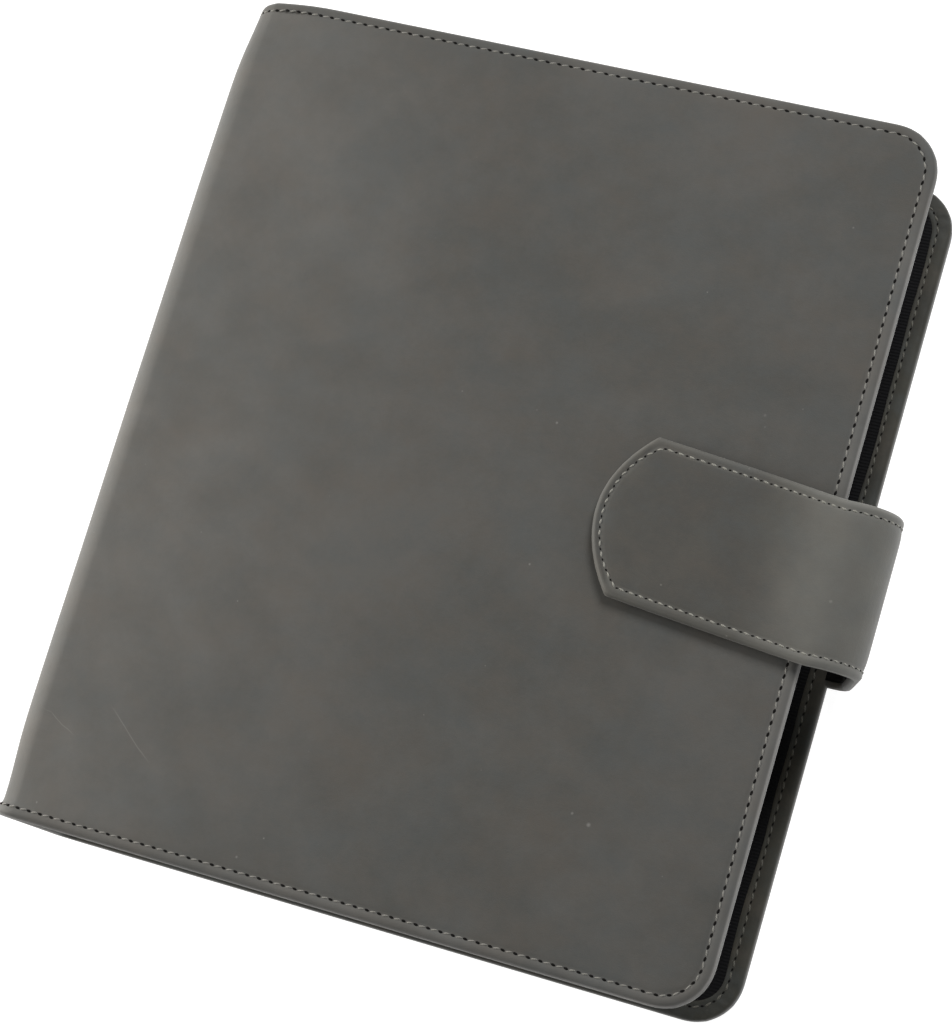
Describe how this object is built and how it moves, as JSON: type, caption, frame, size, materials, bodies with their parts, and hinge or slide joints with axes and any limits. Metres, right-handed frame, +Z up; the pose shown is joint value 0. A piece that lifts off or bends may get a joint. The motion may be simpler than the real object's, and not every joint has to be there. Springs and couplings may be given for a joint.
{
  "type": "refillable ring planner",
  "caption": "Leather ring planner with hinged covers, a spring ring mechanism, page refills, pockets and a magnetic strap that wraps the fore edge.",
  "frame": {"origin": "middle of the closed planner's footprint, on the underside of the back cover", "axes": "+X from the spine to the fore edge, +Y along the height to the head, +Z up from the back cover to the front cover"},
  "size_m": [0.2125, 0.233, 0.0533],
  "materials": {
    "cover_leather": "matte grey waxed nubuck leather, soft mottling, light worn rim",
    "strap_leather": "the cover's grey nubuck, a little warmer and lighter",
    "lining": "black ribbed grosgrain lining",
    "strap_lining": "smooth black lining leather",
    "board": "grey-brown binder's board",
    "paper": "cream writing paper",
    "divider": "satin card-stiff plastic sheet",
    "lifter": "dark satin plastic sheet",
    "nickel": "bright nickel plate",
    "magnet": "dull nickel-plated magnet"
  },
  "bodies": {
    "back_cover": {"back_leather": "cover_leather", "back_board": "board", "back_lining": "lining", "notepad": "paper", "pad_pocket": "cover_leather", "strap_root": "strap_leather", "strap_root_lining": "strap_lining"},
    "spine": {"spine_leather": "cover_leather", "spine_board": "board", "spine_lining": "lining", "ring_rail": "nickel", "head_rivet": "nickel", "tail_rivet": "nickel"},
    "front_cover": {"front_leather": "cover_leather", "front_board": "board", "front_lining": "lining", "cover_magnet": "magnet", "card_pocket_1": "cover_leather", "card_pocket_2": "cover_leather", "card_pocket_3": "cover_leather"},
    "front_refill": {"front_pages": "paper", "front_divider": "divider", "front_lifter": "lifter"},
    "rear_refill": {"rear_pages": "paper", "rear_divider": "divider", "rear_lifter": "lifter"},
    "upper_rings": {"upper_leaf": "nickel", "upper_ring_1": "nickel", "upper_ring_2": "nickel", "upper_ring_3": "nickel", "upper_ring_4": "nickel", "upper_ring_5": "nickel", "upper_ring_6": "nickel"},
    "lower_rings": {"lower_leaf": "nickel", "lower_ring_1": "nickel", "lower_ring_2": "nickel", "lower_ring_3": "nickel", "lower_ring_4": "nickel", "lower_ring_5": "nickel", "lower_ring_6": "nickel"},
    "head_lever": {"head_lever": "nickel"},
    "tail_lever": {"tail_lever": "nickel"},
    "strap_side": {"strap_side": "strap_leather", "strap_side_lining": "strap_lining"},
    "strap_tab": {"strap_tab": "strap_leather", "strap_tab_lining": "strap_lining", "tab_magnet": "magnet"}
  },
  "joints": [
    {"name": "spine_fold", "type": "hinge", "parent": "back_cover", "child": "spine", "pos_m": [-0.10625, 0, 0], "axis": [0, -1, 0], "range_deg": [0, 90]},
    {"name": "cover_fold", "type": "hinge", "parent": "spine", "child": "front_cover", "pos_m": [-0.10625, 0, 0.05], "axis": [0, -1, 0], "range_deg": [0, 90]},
    {"name": "front_refill_turn", "type": "hinge", "parent": "spine", "child": "front_refill", "pos_m": [-0.08145, 0, 0.025], "axis": [0, -1, 0], "range_deg": [0, 90]},
    {"name": "rear_refill_turn", "type": "hinge", "parent": "spine", "child": "rear_refill", "pos_m": [-0.08145, 0, 0.025], "axis": [0, -1, 0], "range_deg": [-90, 0]},
    {"name": "ring_opening", "type": "hinge", "parent": "spine", "child": "upper_rings", "pos_m": [-0.10055, 0, 0.03465], "axis": [0, -1, 0], "range_deg": [0, 4.5]},
    {"name": "lower_ring_opening", "type": "hinge", "parent": "spine", "child": "lower_rings", "pos_m": [-0.10055, 0, 0.01535], "axis": [0, 1, 0], "range_deg": [0, 4.5]},
    {"name": "head_lever_tilt", "type": "hinge", "parent": "spine", "child": "head_lever", "pos_m": [-0.10085, 0.1063, 0.025], "axis": [0, 0, 1], "range_deg": [0, 22.5]},
    {"name": "tail_lever_tilt", "type": "hinge", "parent": "spine", "child": "tail_lever", "pos_m": [-0.10085, -0.1063, 0.025], "axis": [0, 0, -1], "range_deg": [0, 22.5]},
    {"name": "strap_side_fold", "type": "hinge", "parent": "back_cover", "child": "strap_side", "pos_m": [0.09851, 0, 0.0007], "axis": [0, 1, 0], "range_deg": [0, 80]},
    {"name": "strap_tab_fold", "type": "hinge", "parent": "strap_side", "child": "strap_tab", "pos_m": [0.10778, 0, 0.0533], "axis": [0, 1, 0], "range_deg": [0, 100]}
  ],
  "couplings": [
    {"joint": "cover_fold", "follows": "spine_fold", "ratio": 1},
    {"joint": "front_refill_turn", "follows": "spine_fold", "ratio": 1},
    {"joint": "rear_refill_turn", "follows": "spine_fold", "ratio": -1},
    {"joint": "lower_ring_opening", "follows": "ring_opening", "ratio": 1},
    {"joint": "head_lever_tilt", "follows": "ring_opening", "ratio": 5},
    {"joint": "tail_lever_tilt", "follows": "ring_opening", "ratio": 5}
  ]
}
